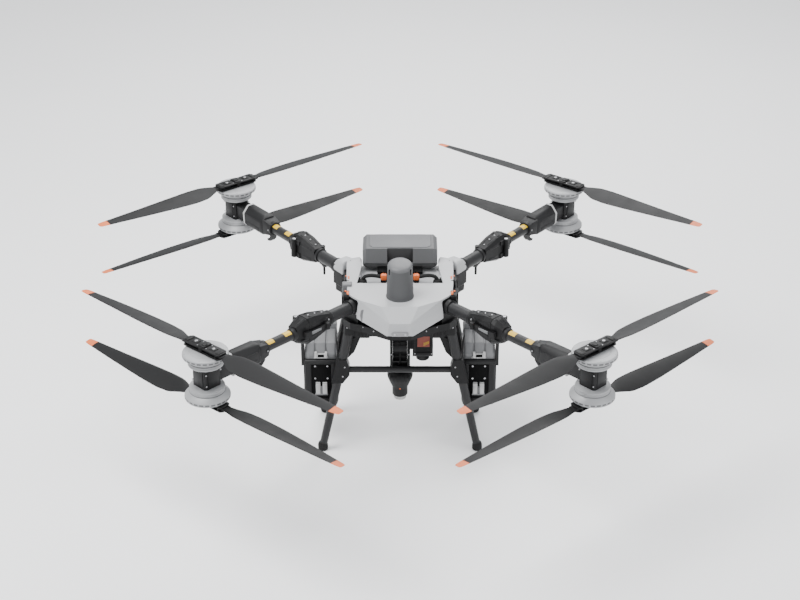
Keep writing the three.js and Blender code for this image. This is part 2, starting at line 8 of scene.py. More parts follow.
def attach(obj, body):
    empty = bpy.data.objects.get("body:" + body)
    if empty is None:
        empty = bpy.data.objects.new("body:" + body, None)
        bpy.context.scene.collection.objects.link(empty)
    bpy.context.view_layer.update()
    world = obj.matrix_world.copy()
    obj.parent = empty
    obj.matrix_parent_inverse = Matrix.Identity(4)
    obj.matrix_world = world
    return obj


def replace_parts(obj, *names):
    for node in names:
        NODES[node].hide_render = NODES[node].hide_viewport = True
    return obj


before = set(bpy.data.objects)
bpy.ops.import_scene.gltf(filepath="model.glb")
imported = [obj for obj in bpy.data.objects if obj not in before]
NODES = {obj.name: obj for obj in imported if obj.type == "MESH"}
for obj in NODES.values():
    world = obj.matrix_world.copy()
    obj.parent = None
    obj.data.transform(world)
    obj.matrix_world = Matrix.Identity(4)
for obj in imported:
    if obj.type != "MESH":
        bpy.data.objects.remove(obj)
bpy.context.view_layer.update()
MM = 0.001

# ---------------------------------------------------------------- corners of the airframe
# name: (x sign, y sign, arm azimuth, reach of the outer arm, fold pin side, blade azimuth)
CORNERS = {
    "front_left": (-1, -1, 225, 558, -1, -41),
    "front_right": (1, -1, 315, 558, 1, 41),
    "rear_left": (-1, 1, 129.5, 550, 1, 38),
    "rear_right": (1, 1, 50.5, 550, -1, -38),
}
MOTOR_X, MOTOR_Y = 826, 828          # rotor axes from the middle
UPPER_Z, LOWER_Z, ARM_Z = 945, 687, 812
PIVOT = 53                           # blade pivots from the rotor axis
PROP_R = 787.5
MOUNT_LENGTH = 330                   # rotor axis to the end of the outer tube
PIN_OFFSET = 47                      # fold pin beside the arm axis
ROOT = {"front": 300, "rear": 298}   # fold joint to the arm's root
TOWER_Y = -210
CABLE_Y = -50
DECK_Z = 838.4
LEG_Y = {"front": -165, "rear": 180}
BAR_Z = 445
LATCH_X = 371
DRUM_Y, DRUM_Z = -34, 600
SIDES = (("left", -1), ("right", 1))


# ---------------------------------------------------------------- materials
def material(name, color, rough=0.5, metal=0.0, vary=0.10, cloud=9.0, grain=600.0, bump=0.05,
             stretch=(1, 1, 1), coat=0.0, weave=None, gloss=0.5):
    """Noise-driven colour, roughness and fine relief in object space."""
    m = bpy.data.materials.new(name)
    m.use_nodes = True
    nt = m.node_tree
    n, link = nt.nodes, nt.links.new
    bsdf = n["Principled BSDF"]
    bsdf.inputs["Metallic"].default_value = metal
    bsdf.inputs["Coat Weight"].default_value = coat
    bsdf.inputs["Specular IOR Level"].default_value = gloss
    coord = n.new("ShaderNodeTexCoord")
    mapping = n.new("ShaderNodeMapping")
    mapping.inputs["Scale"].default_value = stretch
    link(coord.outputs["Object"], mapping.inputs["Vector"])
    big = n.new("ShaderNodeTexNoise")
    big.inputs["Scale"].default_value = cloud
    big.inputs["Detail"].default_value = 4
    fine = n.new("ShaderNodeTexNoise")
    fine.inputs["Scale"].default_value = grain
    fine.inputs["Detail"].default_value = 2
    link(mapping.outputs["Vector"], big.inputs["Vector"])
    link(mapping.outputs["Vector"], fine.inputs["Vector"])
    mix = n.new("ShaderNodeMix")
    mix.data_type = "RGBA"
    mix.inputs["A"].default_value = (*[c * (1 - vary) for c in color], 1)
    mix.inputs["B"].default_value = (*[min(1, c * (1 + vary)) for c in color], 1)
    blend = n.new("ShaderNodeMath")
    blend.operation = "MULTIPLY_ADD"
    blend.inputs[1].default_value = 0.6
    link(big.outputs["Fac"], blend.inputs[0])
    share = n.new("ShaderNodeMath")
    share.operation = "MULTIPLY"
    share.inputs[1].default_value = 0.4
    link(fine.outputs["Fac"], share.inputs[0])
    link(share.outputs[0], blend.inputs[2])
    link(blend.outputs[0], mix.inputs["Factor"])
    link(mix.outputs["Result"], bsdf.inputs["Base Color"])
    rr = n.new("ShaderNodeMapRange")
    rr.inputs["To Min"].default_value = max(0.05, rough - 0.09)
    rr.inputs["To Max"].default_value = min(1.0, rough + 0.09)
    link(big.outputs["Fac"], rr.inputs["Value"])
    link(rr.outputs["Result"], bsdf.inputs["Roughness"])
    height = fine.outputs["Fac"]
    if weave:
        wave = n.new("ShaderNodeTexWave")
        wave.bands_direction = "DIAGONAL"
        wave.inputs["Scale"].default_value = weave
        wave.inputs["Distortion"].default_value = 1.5
        link(mapping.outputs["Vector"], wave.inputs["Vector"])
        height = wave.outputs["Fac"]
    b = n.new("ShaderNodeBump")
    b.inputs["Strength"].default_value = bump
    b.inputs["Distance"].default_value = 0.001
    link(height, b.inputs["Height"])
    link(b.outputs["Normal"], bsdf.inputs["Normal"])
    return m


M = {
    "shell": material("shell", (0.37, 0.374, 0.38), 0.45, vary=0.03, cloud=5, grain=900, bump=0.06,
                      coat=0.05),
    "lip": material("lip", (0.21, 0.212, 0.216), 0.5, vary=0.06, bump=0.08),
    "tower": material("tower", (0.05, 0.051, 0.053), 0.5, vary=0.06, bump=0.08),
    # A lighter copy of the tower colour for the tower's upward-facing top: painted light.
    "tower_lit_top": material("tower_lit_top", (0.085, 0.086, 0.089), 0.45, vary=0.05, bump=0.05),
    "case": material("case", (0.068, 0.069, 0.071), 0.55, vary=0.06, bump=0.14, grain=420),
    # A lighter copy of the case colour for the upward-facing lid panel: painted light.
    "case_lit_top": material("case_lit_top", (0.082, 0.083, 0.086), 0.5, vary=0.05, bump=0.1, grain=420),
    # A much darker copy of the case colour for the case's lower, downward-facing part and its front notch:
    # painted shade.
    "case_shade": material("case_shade", (0.022, 0.0222, 0.023), 0.55, vary=0.08, bump=0.14),
    "black": material("black", (0.0035, 0.0035, 0.0038), 0.5, vary=0.25, bump=0.16, grain=420,
                      gloss=0.22),
    # Near-black laid into holes, slots, insets and openings: painted shade where the openings are.
    "recess_shade": material("recess_shade", (0.0015, 0.0015, 0.0017), 0.7, vary=0.2, bump=0.1, gloss=0.1),
    "tube": material("tube", (0.0105, 0.0105, 0.0112), 0.42, vary=0.14, bump=0.12, weave=260,
                     gloss=0.3),
    "housing": material("housing", (0.0065, 0.0065, 0.007), 0.5, vary=0.18, bump=0.14, grain=380,
                        gloss=0.26),
    "motor": material("motor", (0.30, 0.303, 0.308), 0.45, metal=0.15, vary=0.05, grain=1400,
                      bump=0.09),
    # A darker copy of the motor colour laid over the bell's vents, openings and groove: painted shade.
    "motor_vent_shade": material("motor_vent_shade", (0.10, 0.101, 0.103), 0.5, metal=0.15, vary=0.08, grain=1400,
                           bump=0.09),
    "blade": material("blade", (0.0062, 0.0062, 0.0066), 0.5, vary=0.18, cloud=14, bump=0.05,
                      gloss=0.2),
    "orange_tip": material("orange_tip", (0.58, 0.125, 0.028), 0.5, vary=0.08, bump=0.05),
    "orange": material("orange", (0.6, 0.12, 0.022), 0.45, vary=0.1, bump=0.08),
    "patch": material("patch", (0.22, 0.04, 0.022), 0.5, vary=0.25, cloud=60, bump=0.1),
    "yellow": material("yellow", (0.6, 0.38, 0.012), 0.45, vary=0.08, cloud=40, bump=0.03, coat=0.1),
    "battery": material("battery", (0.145, 0.147, 0.15), 0.5, vary=0.07, bump=0.16, grain=380),
    "pale": material("pale", (0.42, 0.42, 0.415), 0.45, vary=0.05, bump=0.05),
    "rubber": material("rubber", (0.006, 0.006, 0.006), 0.75, vary=0.2, bump=0.3, grain=300, gloss=0.3),
    "steel": material("steel", (0.42, 0.42, 0.43), 0.32, metal=0.9, vary=0.1, cloud=60,
                      stretch=(1, 1, 12), bump=0.05),
    "grey": material("grey", (0.115, 0.117, 0.12), 0.48, vary=0.08, bump=0.1),
    "lens": material("lens", (0.004, 0.004, 0.005), 0.12, vary=0.1, bump=0.01, coat=0.6),
    "rope": material("rope", (0.02, 0.02, 0.02), 0.8, vary=0.3, cloud=300, bump=0.4, grain=900,
                     gloss=0.3),
}


# ---------------------------------------------------------------- mesh builders (millimetres)
class Shape:
    """A list of vertices and faces that grows piece by piece."""

    def __init__(self):
        self.v, self.f = [], []

    def add(self, verts, faces, at=None):
        """Adds faces, placed by the matrix at; a mirroring matrix turns the faces round."""
        base = len(self.v)
        self.v += [at @ Vector(p) if at else Vector(p) for p in verts]
        flip = at is not None and at.to_3x3().determinant() < 0
        self.f += [[base + i for i in (reversed(face) if flip else face)] for face in faces]
        return self

    def box(self, x0, x1, y0, y1, z0, z1, b=1.2, at=None):
        """A box between two corners with its edges bevelled by b."""
        x0, x1 = sorted((x0, x1))
        y0, y1 = sorted((y0, y1))
        b = min(b, (x1 - x0) * 0.3, (y1 - y0) * 0.3, (z1 - z0) * 0.3)
        bm = bmesh.new()
        bmesh.ops.create_cube(bm, size=1)
        for v in bm.verts:
            v.co = Vector((x0 if v.co.x < 0 else x1, y0 if v.co.y < 0 else y1, z0 if v.co.z < 0 else z1))
        bmesh.ops.bevel(bm, geom=bm.edges[:], offset=b, segments=2, affect="EDGES", profile=0.5)
        return self.take(bm, at)

    def hull(self, points, b=2.0, at=None, segments=2):
        """The convex body around points with its edges bevelled by b."""
        bm = bmesh.new()
        for p in points:
            bm.verts.new(p)
        bmesh.ops.convex_hull(bm, input=bm.verts[:])
        bmesh.ops.dissolve_limit(bm, angle_limit=0.02, verts=bm.verts[:], edges=bm.edges[:])
        if b:
            bmesh.ops.bevel(bm, geom=bm.edges[:], offset=b, segments=segments, affect="EDGES", profile=0.5)
        return self.take(bm, at)

    def take(self, bm, at=None):
        """Adds a bmesh and frees it."""
        bmesh.ops.recalc_face_normals(bm, faces=bm.faces[:])
        bm.verts.index_update()
        verts = [v.co.copy() for v in bm.verts]
        faces = [[v.index for v in f.verts] for f in bm.faces]
        bm.free()
        return self.add(verts, faces, at)

    def lathe(self, profile, sides=64, at=None, radius=None):
        """profile: [r, z] from the lower end on the axis to the upper; radius(angle, r, z) may shape it."""
        rings, verts = [], []
        for r, z in profile:
            if r < 1e-6:
                rings.append([len(verts)])
                verts.append((0, 0, z))
                continue
            ring = []
            for i in range(sides):
                a = 2 * math.pi * i / sides
                q = radius(a, r, z) if radius else r
                ring.append(len(verts))
                verts.append((q * math.cos(a), q * math.sin(a), z))
            rings.append(ring)
        faces = []
        for lo, hi in zip(rings, rings[1:]):
            for i in range(sides):
                j = (i + 1) % sides
                if len(lo) == 1 and len(hi) == 1:
                    continue
                if len(lo) == 1:
                    faces.append([lo[0], hi[j], hi[i]])
                elif len(hi) == 1:
                    faces.append([lo[i], lo[j], hi[0]])
                else:
                    faces.append([lo[i], lo[j], hi[j], hi[i]])
        return self.add(verts, faces, at)

    def loft(self, rings, at=None):
        """A skin through closed rings with equal point counts, capped at both ends."""
        count = len(rings[0])
        verts = [p for ring in rings for p in ring]
        faces = []
        for k in range(len(rings) - 1):
            for i in range(count):
                j = (i + 1) % count
                faces.append([k * count + i, k * count + j, (k + 1) * count + j, (k + 1) * count + i])
        faces.append(list(reversed(range(count))))
        faces.append([(len(rings) - 1) * count + i for i in range(count)])
        return self.add(verts, faces, at)

    def pipe(self, points, r, sides=20, at=None, ripple=None):
        """A round tube along points; ripple(i) is added to the radius at point i."""
        pts = [Vector(p) for p in points]
        rings, side = [], None
        for i, p in enumerate(pts):
            t = (pts[min(i + 1, len(pts) - 1)] - pts[max(i - 1, 0)]).normalized()
            if side is None:
                side = t.orthogonal().normalized()
            side = (side - t * side.dot(t)).normalized()
            other = t.cross(side)
            q = r if ripple is None else r + ripple(i)
            angles = [2 * math.pi * k / sides for k in range(sides)]
            rings.append([p + side * (q * math.cos(a)) + other * (q * math.sin(a)) for a in angles])
        return self.loft(rings, at)


def along(p, direction, roll=0.0):
    """A matrix whose Z runs along direction from point p."""
    q = Vector(direction).normalized().to_track_quat("Z", "Y")
    return Matrix.Translation(Vector(p)) @ q.to_matrix().to_4x4() @ Matrix.Rotation(roll, 4, "Z")


def place(name, shape, mat, body, smooth=35):
    """Makes a finished piece of a shape and lets it ride a body."""
    mesh = bpy.data.meshes.new(name)
    mesh.from_pydata([v * MM for v in shape.v], [], shape.f)
    bm = bmesh.new()
    bm.from_mesh(mesh)
    bmesh.ops.recalc_face_normals(bm, faces=bm.faces[:])
    limit = math.radians(smooth)
    for face in bm.faces:
        face.smooth = True
    for e in bm.edges:
        e.smooth = len(e.link_faces) == 2 and e.calc_face_angle(3.2) < limit
    bm.to_mesh(mesh)
    bm.free()
    mesh.materials.append(M[mat])
    obj = bpy.data.objects.new(name, mesh)
    bpy.context.scene.collection.objects.link(obj)
    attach(obj, body)
    return obj


def dress(node, mat, bevel=1.5, segments=2, smooth=32):
    """Keeps a CAD node and gives it rounded edges and a finish."""
    obj = NODES[node]
    obj.data.materials.clear()
    obj.data.materials.append(M[mat])
    flat = obj.modifiers.new("Planar", "DECIMATE")
    flat.decimate_type = "DISSOLVE"
    flat.angle_limit = math.radians(1.5)
    edge = obj.modifiers.new("Edges", "BEVEL")
    edge.width = bevel * MM
    edge.segments = segments
    edge.limit_method = "ANGLE"
    edge.angle_limit = math.radians(smooth)
    edge.harden_normals = False
    for face in obj.data.polygons:
        face.use_smooth = True
    even = obj.modifiers.new("Normals", "WEIGHTED_NORMAL")
    even.keep_sharp = False
    return obj


def screw(shape, p, normal, r=4.0, h=3.0):
    """Socket-head screw: chamfered head with a hexagonal recess."""
    at = along(p, normal)

    def hexed(a, q, z):
        if q >= r * 0.6:
            return q
        return q / max(0.5, math.cos((a + math.pi / 6) % (math.pi / 3) - math.pi / 6))

    shape.lathe([
        [0, h - 1.6], [r * 0.5, h - 1.6], [r * 0.5, h], [r * 0.86, h], [r, h - 0.5], [r, -1], [0, -1]
    ][::-1], 24, at, hexed)
    return shape


# ---------------------------------------------------------------- propellers and motors
# distance from the pivot, chord, share ahead of the pivot line, thickness, twist in degrees
STATIONS = [
    (60, 42, 0.5, 10.5, 0), (92, 62, 0.47, 11, 8), (140, 98, 0.43, 10, 12), (215, 106, 0.41, 9, 12),
    (340, 95, 0.4, 7.5, 10), (540, 66, 0.4, 5.5, 8), (PROP_R - PIVOT, 36, 0.45, 3, 6)
]
TIP = 52                             # length of the orange end


def station(x):
    """Chord, share ahead of the pivot line, thickness and twist at a distance from the pivot."""
    xs = [s[0] for s in STATIONS]
    k = max(i for i in range(len(xs) - 1) if xs[i] <= x or i == 0)
    t = min(1, max(0, (x - xs[k]) / (xs[k + 1] - xs[k])))
    return [a + (b - a) * t for a, b in zip(STATIONS[k][1:], STATIONS[k + 1][1:])]


def section(x, trim=1.0):
    """The blade's closed aerofoil section at a distance from the pivot."""
    chord, ahead, thick, twist = station(x)
    chord, thick, t = chord * trim, thick * 0.98, math.radians(twist)
    out = []
    for i in range(24):
        a = 2 * math.pi * i / 24
        s = 0.5 - 0.5 * math.cos(a)
        y = chord * ahead - chord * s
        body = 1.9 * (math.sqrt(s) * 0.9 - s * 0.35 - 0.55 * s * s) + 0.02
        z = thick * (0.5 * body + 0.10 * (1 - s)) if a <= math.pi else -thick * (0.3 * body - 0.10 * (1 - s))
        out.append(Vector((x, y * math.cos(t) - z * math.sin(t), y * math.sin(t) + z * math.cos(t))))
    return out


def blade_meshes(at):
    """The dark part of a blade with its root, and its orange tip."""
    end = PROP_R - PIVOT
    xs = [60, 70, 82, 96, 112, 130, 150, 175, 205, 240, 280, 330, 385, 440, 500, 560, 620, end - TIP]
    wing = Shape().loft([section(x) for x in xs], at)
    wing.lathe([
        [6.8, -5.4], [20, -5.4], [21, -4.4], [21, 4.4], [20, 5.4], [6.8, 5.4], [6.8, -5.4]
    ], 48, at)
    wing.hull([(x, y, z) for x in (8, 68) for y in (-20.5, 20.5) for z in (-4.9, 4.9)], 1.4, at)
    tip = Shape().loft([section(x, trim) for x, trim in [
        (end - TIP, 1.0), (end - 30, 1.0), (end - 14, 0.97), (end - 5, 0.86), (end - 1, 0.62)
    ]], at)
    return wing, tip


def rotor_pieces(at):
    """Motor bell, its vents, the propeller clamp and the clamp's screws."""
    bell = Shape().lathe([
        [0, -56], [76, -56], [77, -55.2], [77, -52], [79, -50.5], [98, -35], [99, -33.5], [99, -32.5],
        [99, -29], [99, -25], [99, -22.5], [99, -20.5], [97.5, -18], [95, -16.4], [88, -16],
        [70, -15.7], [69.5, -16.6], [67, -16.6], [66.5, -15.7], [30, -15.6], [0, -15.6]
    ], 144, at)
    # Dark vent slabs, small top slabs and a ring in the groove at the bell's lower edge: painted shade in
    # the vents, openings and groove.
    vent = Shape()
    for k in range(24):
        turn = at @ Matrix.Rotation(k * math.pi / 12, 4, "Z")
        vent.box(96, 99.25, -9, 9, -31.5, -23.5, 0.8, turn)
        if k % 4 == 0:
            vent.box(90, 92, -2.5, 2.5, -16.5, -15.8, 0.3, turn)
    vent.lathe([
        [77.6, -54.6], [77.9, -54.4], [77.9, -52.8], [77.6, -52.6], [76, -52.6], [76, -54.6],
        [77.6, -54.6]
    ], 96, at)
    clamp = Shape()
    for z0, z1 in ((-12, -6), (6, 12)):
        clamp.hull([(sx * x, sy * y, z) for sx in (-1, 1) for sy in (-1, 1) for z in (z0, z1)
                    for x, y in ((111, 17), (101, 29.5), (38, 29.5))], 1.4, at)
    clamp.lathe([[0, -15.6], [24, -15.6], [20, -12], [19.5, 12], [0, 12]], 48, at)
    for s in (-1, 1):
        clamp.hull([(s * x, y, z) for x, y, z in (
            (36, -15, 12), (36, 15, 12), (70, -15, 12), (70, 15, 12), (40, -11, 15.4), (40, 11, 15.4),
            (66, -11, 15.4), (66, 11, 15.4)
        )], 0.8, at)
        clamp.box(s * 84, s * 103, -20, 20, 11.8, 14.4, 1, at)
        clamp.box(s * 88, s * 92, -29.8, 29.8, -11.9, 11.9, 0.8, at)
    clamp.hull([(x, y, z) for x in (-16, 16) for y in (-24, 24) for z in (12, 17)], 1.5, at)
    clamp.lathe([[0, 12], [13, 12], [13, 18.5], [11, 20], [0, 20]], 32, at)
    clamp.box(-9, 9, -30, -22, -11, 14, 1, at)
    clamp.box(-9, 9, 22, 30, -11, 14, 1, at)
    steel = Shape()
    for s in (-1, 1):
        screw(steel, at @ Vector((s * PIVOT, 0, 15)), at.to_3x3() @ Vector((0, 0, 1)), 6.6, 2.4)
    for x in (-26, 26):
        for y in (-18, 18):
            screw(steel, at @ Vector((x, y, 12)), at.to_3x3() @ Vector((0, 0, 1)), 2.6, 1.6)
    return bell, vent, clamp, steel


def propeller(corner, level):
    """One motor bell with its clamp and two blades."""
    sx, sy, _, _, _, blade_az = CORNERS[corner]
    upper = level == "upper"
    hub = Matrix.Translation((sx * MOTOR_X, sy * MOTOR_Y, UPPER_Z if upper else LOWER_Z))
    base = hub @ Matrix.Rotation(math.radians(blade_az), 4, "Z")
    body = f"{corner}_{level}_rotor"
    flip = Matrix.Identity(4) if upper else Matrix.Diagonal((1, 1, -1, 1))
    bell, vent, clamp, steel = rotor_pieces(base @ flip)
    bell_obj = place(f"{body}_bell", bell, "motor", body, 32)
    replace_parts(bell_obj, body)
    # The vents take the darker copy of the motor colour: painted shade.
    place(f"{body}_vents", vent, "motor_vent_shade", body)
    place(f"{body}_clamp", clamp, "black", body)
    place(f"{body}_screws", steel, "steel", body)
    clockwise = (sx * sy > 0) == upper
    turn = Matrix.Identity(4) if clockwise else Matrix.Diagonal((1, -1, 1, 1))
    for label, x, z in (("a", PIVOT, 0), ("b", -PIVOT, math.pi)):
        at = base @ Matrix.Translation((x, 0, 0)) @ Matrix.Rotation(z, 4, "Z") @ turn
        one = f"{corner}_{level}_blade_{label}"
        wing, tip = blade_meshes(at)
        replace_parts(place(f"{one}_skin", wing, "blade", one, 40), one)
        place(f"{one}_tip", tip, "orange_tip", one, 40)


# ---------------------------------------------------------------- arms
def arm_matrix(corner):
    """From the arm's own frame, with X outwards from the fold joint, to the object."""
    sx, sy, az, reach, _, _ = CORNERS[corner]
    a = math.radians(az)
    origin = (sx * MOTOR_X - reach * math.cos(a), sy * MOTOR_Y - reach * math.sin(a), ARM_Z)
    return Matrix.Translation(origin) @ Matrix.Rotation(a, 4, "Z")


def motor_mount(corner, at, reach, body):
    """Controller housing, motor block, stator rings, claw and their trim."""
    core = Shape()
    r = reach
    core.hull([(r + x, y, z) for x, y in (
        (-45, 37), (-37, 45), (37, 45), (45, 37), (-45, -37), (-37, -45), (37, -45), (45, -37)
    ) for z in (-46, 54)], 2.2, at)
    for k in range(4):
        a = k * math.pi / 2
        turn = at @ Matrix.Translation((r, 0, 0)) @ Matrix.Rotation(a, 4, "Z")
        core.box(44, 48, -30, 30, -34, 42, 2, turn)
        edge = turn @ Matrix.Rotation(math.pi / 4, 4, "Z") @ Matrix.Translation((6, 0, 0))
        core.box(47, 49.5, -7, 7, 8, 38, 1.2, edge)
    core.hull([(r - x, y, z) for x, y, z in (
        (280, 36, -40), (280, -36, -40), (280, 30, 46), (280, -30, 46), (128, 43, -30), (128, -43, -30),
        (128, 34, -44), (128, -34, -44), (128, 45, 24), (128, -45, 24), (128, 17, 58), (128, -17, 58),
        (262, 43, -30), (262, -43, -30), (262, 45, 22), (262, -45, 22), (256, 16, 54), (256, -16, 54),
        (262, 34, -44), (262, -34, -44)
    )], 4, at, 3)
    core.hull([(r - x, y, z) for x, y, z in (
        (330, 30, -28), (330, -30, -28), (330, 30, 28), (330, -30, 28), (272, 38, -38), (272, -38, -38),
        (272, 38, 42), (272, -38, 42)
    )], 3, at)
    core.hull([(r - x, y, z) for x in (44, 130) for y, z in (
        (34, -34), (-34, -34), (34, 38), (-34, 38)
    )], 5, at, 3)
    for z in (-26, 10):
        core.box(r - 250, r - 140, 42, 44.5, z, z + 16, 1, at)
        core.box(r - 250, r - 140, -44.5, -42, z, z + 16, 1, at)
    core.lathe([[0, 0], [33, 0], [34.5, 1.5], [34.5, 22], [33, 23.5], [0, 23.5]], 56,
               at @ along((r - 331, 0, 0), (1, 0, 0)))
    claw = [(0, 0), (40, 0), (31, -12), (26, -26), (34, -41), (50, -46), (46, -56), (24, -51), (8, -34)]
    ring = [Vector((r - 326 + x, 0, z - 22)) for x, z in claw]
    core.loft([[Vector((p.x, -13.5, p.z)) for p in ring], [Vector((p.x, 13.5, p.z)) for p in ring]], at)
    obj = place(f"{corner}_mount_body", core, "housing", body)
    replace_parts(obj, f"{corner}_motor_mount")
    rings = Shape()
    here = at @ Matrix.Translation((r, 0, 0))
    rings.lathe([
        [0, 53], [60, 53], [63, 53.6], [76, 57.5], [77, 59], [77, 66], [75.5, 67], [75.5, 69], [77, 70],
        [77, 75.4], [74, 76], [0, 76]
    ], 120, here)
    rings.lathe([
        [0, -68], [74, -68], [77, -67.4], [77, -62], [75.5, -61], [75.5, -59], [77, -58], [77, -51],
        [76, -49.5], [63, -45.6], [60, -45], [0, -45]
    ], 120, here)
    place(f"{corner}_stators", rings, "motor", body)
    band = Shape()
    band.hull([(r - x, y, z) for x in (118, 128) for y, z in (
        (43.5, -30), (34, -45), (-34, -45), (-43.5, -30), (-46, 24), (-17, 59), (17, 59), (46, 24)
    )], 1.5, at)
    place(f"{corner}_end_ring", band, "pale", body)
    # Cooling slots as near-black slabs on the housing: painted shade in the slots.
    slots = Shape()
    for k in range(4):
        x = r - 158 - 25 * k
        for s in (-1, 1):
            slots.hull([(x + dx, s * y, z) for dx in (-7.5, 7.5) for y, z in (
                (23, 50.6), (42, 27.4), (20, 46), (38, 24)
            )], 0.6, at)
    place(f"{corner}_cooling_slots", slots, "recess_shade", body)
    bolts = Shape()
    for s in (-1, 1):
        for x in (r - 40, r + 40):
            screw(bolts, at @ Vector((x, s * 47, 30)), at.to_3x3() @ Vector((0, s, 0)), 3.4, 2)
            screw(bolts, at @ Vector((x, s * 47, -24)), at.to_3x3() @ Vector((0, s, 0)), 3.4, 2)
        screw(bolts, at @ Vector((r - 318, s * 34, 0)), at.to_3x3() @ Vector((0, s, 0)), 3.6, 2.4)
    place(f"{corner}_mount_bolts", bolts, "steel", body)


def arm(corner):
    """Both tubes, the fold joint's fittings and lever, the labels and the motor mount."""
    _, sy, _, reach, side, _ = CORNERS[corner]
    at = arm_matrix(corner)
    body = f"{corner}_arm"
    root = ROOT["front" if sy < 0 else "rear"]
    dress(f"{corner}_inner_arm", "black", 2.4, 3)
    dress(f"{corner}_outer_arm", "black", 2.4, 3)
    dress(f"{corner}_lock_lever", "black", 1.6, 2)
    tube = Shape().lathe([
        [0, 0], [29.6, 0], [29.6, root - 142], [0, root - 142]
    ], 72, at @ along((-root, 0, 0), (1, 0, 0)))
    place(f"{corner}_inner_tube", tube, "tube", "airframe")
    length = reach - MOUNT_LENGTH - 60
    tube = Shape().lathe([
        [0, 0], [24.4, 0], [24.4, length], [0, length]
    ], 72, at @ along((59, 0, 0), (1, 0, 0)))
    place(f"{corner}_outer_tube", tube, "tube", body)
    collar = Shape()
    collar.lathe([
        [0, 0], [34, 0], [36, 2], [36, 21], [34, 23], [0, 23]
    ], 64, at @ along((-root + 1, 0, 0), (1, 0, 0)))
    collar.lathe([
        [0, 0], [33, 0], [35, 2], [35, 15], [31, 18], [0, 18]
    ], 64, at @ along((-158, 0, 0), (1, 0, 0)))
    for s in (-1, 1):
        for z in (22, -31):
            collar.hull([(x, s * y, z + dz) for x, y in (
                (-116, 32), (-116, 37.5), (-14, 39), (-14, 44)
            ) for dz in (0, 9)], 1.5, at)
        collar.hull([(x, s * y, z) for x, y, z in (
            (-112, 10, 40), (-112, 20, 40), (-14, 12, 58), (-14, 26, 58), (-108, 12, 46),
            (-108, 18, 46), (-20, 14, 67), (-20, 22, 66)
        )], 1.5, at)
    place(f"{corner}_inner_fittings", collar, "housing", "airframe")
    cuff = Shape()
    cuff.lathe([
        [0, 0], [31, 0], [32.5, 2], [30, 15], [27, 20], [0, 20]
    ], 64, at @ along((58, 0, 0), (1, 0, 0)))
    for s in (-1, 1):
        cuff.hull([(x, s * y, z) for x, y, z in (
            (6, 10, 54), (6, 26, 54), (50, 8, 40), (50, 18, 40), (10, 13, 65), (10, 22, 64),
            (44, 10, 50), (44, 16, 50)
        )], 1.5, at)
    cuff.box(6, 46, -side * 40, -side * 43.5, -34, -24, 1.5, at)
    place(f"{corner}_outer_fittings", cuff, "housing", body)
    pin = Shape()
    for z, d in ((46, 1), (-46, -1)):
        screw(pin, at @ Vector((0, side * PIN_OFFSET, z + d * 0.5)), (0, 0, d), 9, 3)
    for x, z in ((-112, 43.5), (-70, 54.5), (-30, 61)):
        screw(pin, at @ Vector((x, 0, z)), (0, 0, 1), 3.4, 2)
    screw(pin, at @ Vector((-120, -side * 38, 18)), at.to_3x3() @ Vector((0, -side, 0)), 3.6, 2.4)
    screw(pin, at @ Vector((-120, -side * 38, -18)), at.to_3x3() @ Vector((0, -side, 0)), 3.6, 2.4)
    place(f"{corner}_fold_screws", pin, "steel", "airframe")
    # A grey strip along the black lock lever's outer side: a painted highlight.
    lever = Shape()
    y = -side * 52
    lever.hull([(x, y + dy * -side, z) for x, dy, z in (
        (-62, 0, -6), (-62, 0, 6), (-4, 0, -8), (-4, 0, 8), (-60, 4, -4), (-60, 4, 4), (-8, 5, -6),
        (-8, 5, 6)
    )], 1, at)
    place(f"{corner}_lever_painted_highlight", lever, "grey", f"{corner}_lock")
    for k, x in enumerate((102, 203)):
        label = Shape()
        angles = [math.radians(-48 + 8 * i) for i in range(13)]
        pts = [[(x + dx, 24.75 * math.sin(a), 24.75 * math.cos(a)) for dx in (-19, 19)] for a in angles]
        verts = [p for pair in pts for p in pair]
        faces = [[2 * i, 2 * i + 1, 2 * i + 3, 2 * i + 2] for i in range(len(pts) - 1)]
        label.add(verts, faces, at)
        place(f"{corner}_label_{k}", label, "yellow", body)
    if sy > 0:
        peg = Shape()
        peg.lathe([[0, -92], [4, -92], [5.9, -90], [5.9, -40], [8, -36], [8, -28], [0, -28]], 32,
                  at @ Matrix.Translation((-176, 0, 0)))
        peg.box(-202, -150, -10, 10, -41, -26, 2.5, at)
        peg.hull([(-176 + x, y, z) for x, y, z in (
            (-14, -9, -41), (14, -9, -41), (-14, 9, -41), (14, 9, -41), (-7, -6, -50), (7, -6, -50),
            (-7, 6, -50), (7, 6, -50)
        )], 1, at)
        place(f"{corner}_peg", peg, "black", "airframe")
    motor_mount(corner, at, reach, body)


